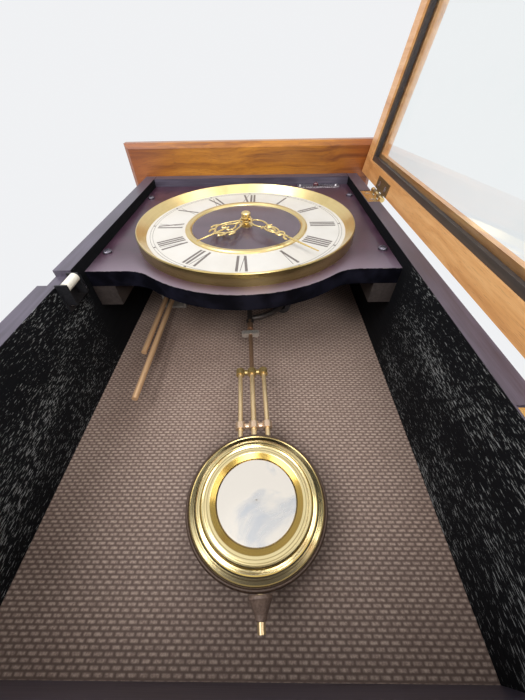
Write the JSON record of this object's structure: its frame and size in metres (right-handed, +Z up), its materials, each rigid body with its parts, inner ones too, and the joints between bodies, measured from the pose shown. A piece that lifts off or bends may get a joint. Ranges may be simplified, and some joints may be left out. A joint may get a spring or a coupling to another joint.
{
  "type": "pendulum wall clock",
  "caption": "Rectangular wooden wall clock with a hinged glass door, round dial, hands, pendulum and striking gong rods.",
  "frame": {"origin": "centre of the hole in the hanger plate at the back of the case, at the middle of the plate's thickness", "axes": "+Z up, +Y into the wall along the hanger hole, the dial faces -Y, +X to the right of a viewer of the dial"},
  "size_m": [0.3872, 0.4024, 0.521],
  "materials": {
    "painted_wood": "satin paint, worn at the edges",
    "dial_board_paint": "satin paint",
    "crown_wood": "stained and varnished",
    "door_wood": "bare inside, painted outside",
    "hardboard": "screen texture",
    "brass": "brushed",
    "gong_rod": "drawn rod",
    "bob_rim": "gloss",
    "mirror": "polished",
    "nickel": "plated",
    "steel": "zinc plated",
    "dark_steel": "blackened",
    "cast_block": "cast",
    "white_dial": "satin print",
    "dark_disc": "satin",
    "nylon": "satin",
    "switch_red": "gloss",
    "coil_case": "matt",
    "battery_skin": "gloss",
    "glass": "clear"
  },
  "bodies": {
    "case": {"back_panel": "hardboard", "base_board": "crown_wood", "battens": "painted_wood", "battery": "battery_skin", "battery_holder": "coil_case", "bezel": "brass", "board_screws": "nickel", "case_screws": "brass", "catch_bracket": "dark_steel", "centre_disc": "dark_disc", "crown_board": "crown_wood", "dial_board": "dial_board_paint", "dial_plate": "white_dial", "dial_rings": "brass", "front_plate": "steel", "gong_block": "cast_block", "gong_rod_long": "gong_rod", "gong_rod_short": "gong_rod", "hanger_plate": "steel", "hinges_case_half": "brass", "impulse_coil": "coil_case", "movement_pillars": "steel", "movement_screws": "steel", "rear_plate": "steel", "side_left": "painted_wood", "side_right": "painted_wood", "strike_bracket": "steel", "strike_motor": "steel", "suspension_bracket": "steel", "switch_plate": "nickel", "top_and_bottom_panels": "painted_wood", "wood_screws": "steel"},
    "door": {"door_stile_free": "door_wood", "door_stile_hinge": "door_wood", "door_rails": "door_wood", "door_glass": "glass", "glass_beads": "door_wood", "door_strike": "steel", "door_screws": "brass", "hinges_door_half": "brass"},
    "minute_arbor": {"centre_arbor": "brass", "minute_hand": "brass", "hand_knob": "brass"},
    "hour_pipe": {"hour_wheel": "brass", "hour_hand": "brass"},
    "motion_wheel": {"motion_wheel": "brass"},
    "third_wheel": {"third_wheel": "nylon"},
    "ratchet_wheel": {"ratchet_wheel": "nylon"},
    "pendulum": {"pendulum_leader": "dark_steel", "pendulum_rods": "brass", "pendulum_bridges": "brass", "bob_back": "bob_rim", "bob_front": "brass", "bob_mirror": "mirror"},
    "rating_nut": {"rating_nut": "bob_rim"},
    "hammer_high": {"hammer_high": "brass"},
    "hammer_low": {"hammer_low": "brass"},
    "camshaft": {"strike_camshaft": "steel"},
    "slider": {"strike_slider": "switch_red"},
    "roller": {"catch_roller": "nylon"}
  },
  "joints": [
    {"name": "door_swing", "type": "hinge", "parent": "case", "child": "door", "pos_m": [0.1505, -0.107, -0.21975], "axis": [0, 0, 1], "range_deg": [-99, 81]},
    {"name": "minute_arbor_spin", "type": "hinge", "parent": "case", "child": "minute_arbor", "pos_m": [0, -0.1, -0.131], "axis": [0, 1, 0], "continuous": true},
    {"name": "hour_pipe_spin", "type": "hinge", "parent": "case", "child": "hour_pipe", "pos_m": [0, -0.1, -0.131], "axis": [0, 1, 0], "continuous": true},
    {"name": "motion_wheel_spin", "type": "hinge", "parent": "case", "child": "motion_wheel", "pos_m": [0, -0.08, -0.1166], "axis": [0, 1, 0], "continuous": true},
    {"name": "third_wheel_spin", "type": "hinge", "parent": "case", "child": "third_wheel", "pos_m": [-0.02024, -0.065, -0.14269], "axis": [0, 1, 0], "continuous": true},
    {"name": "ratchet_wheel_spin", "type": "hinge", "parent": "case", "child": "ratchet_wheel", "pos_m": [-0.00899, -0.055, -0.16217], "axis": [0, 1, 0], "continuous": true},
    {"name": "pendulum_swing", "type": "hinge", "parent": "case", "child": "pendulum", "pos_m": [0, -0.03, -0.155], "axis": [0, 1, 0], "range_deg": [-1.54, 8.46]},
    {"name": "rating_nut_spin", "type": "hinge", "parent": "pendulum", "child": "rating_nut", "pos_m": [0.01605, -0.03, -0.42052], "axis": [-0.0604, 0, 0.9982], "continuous": true},
    {"name": "hammer_high_lift", "type": "hinge", "parent": "case", "child": "hammer_high", "pos_m": [-0.0585, -0.039, -0.083], "axis": [-1, 0, 0], "range_deg": [0, 20], "stiffness_Nm_per_rad": 0.003, "springref_deg": -20.05},
    {"name": "hammer_low_lift", "type": "hinge", "parent": "case", "child": "hammer_low", "pos_m": [-0.0495, -0.039, -0.083], "axis": [-1, 0, 0], "range_deg": [0, 20], "stiffness_Nm_per_rad": 0.003, "springref_deg": -20.05},
    {"name": "strike_camshaft_spin", "type": "hinge", "parent": "case", "child": "camshaft", "pos_m": [-0.05, -0.039, -0.065], "axis": [1, 0, 0], "continuous": true},
    {"name": "strike_slide", "type": "slide", "parent": "case", "child": "slider", "axis": [1, 0, 0], "range_m": [0, 0.008]},
    {"name": "catch_roller_spin", "type": "hinge", "parent": "case", "child": "roller", "pos_m": [-0.1275, -0.1045, -0.2425], "axis": [0, 0, 1], "continuous": true}
  ],
  "couplings": [
    {"joint": "hour_pipe_spin", "follows": "minute_arbor_spin", "ratio": 0.083333},
    {"joint": "motion_wheel_spin", "follows": "minute_arbor_spin", "ratio": -0.33333},
    {"joint": "third_wheel_spin", "follows": "minute_arbor_spin", "ratio": -7.5},
    {"joint": "ratchet_wheel_spin", "follows": "minute_arbor_spin", "ratio": 60}
  ]
}
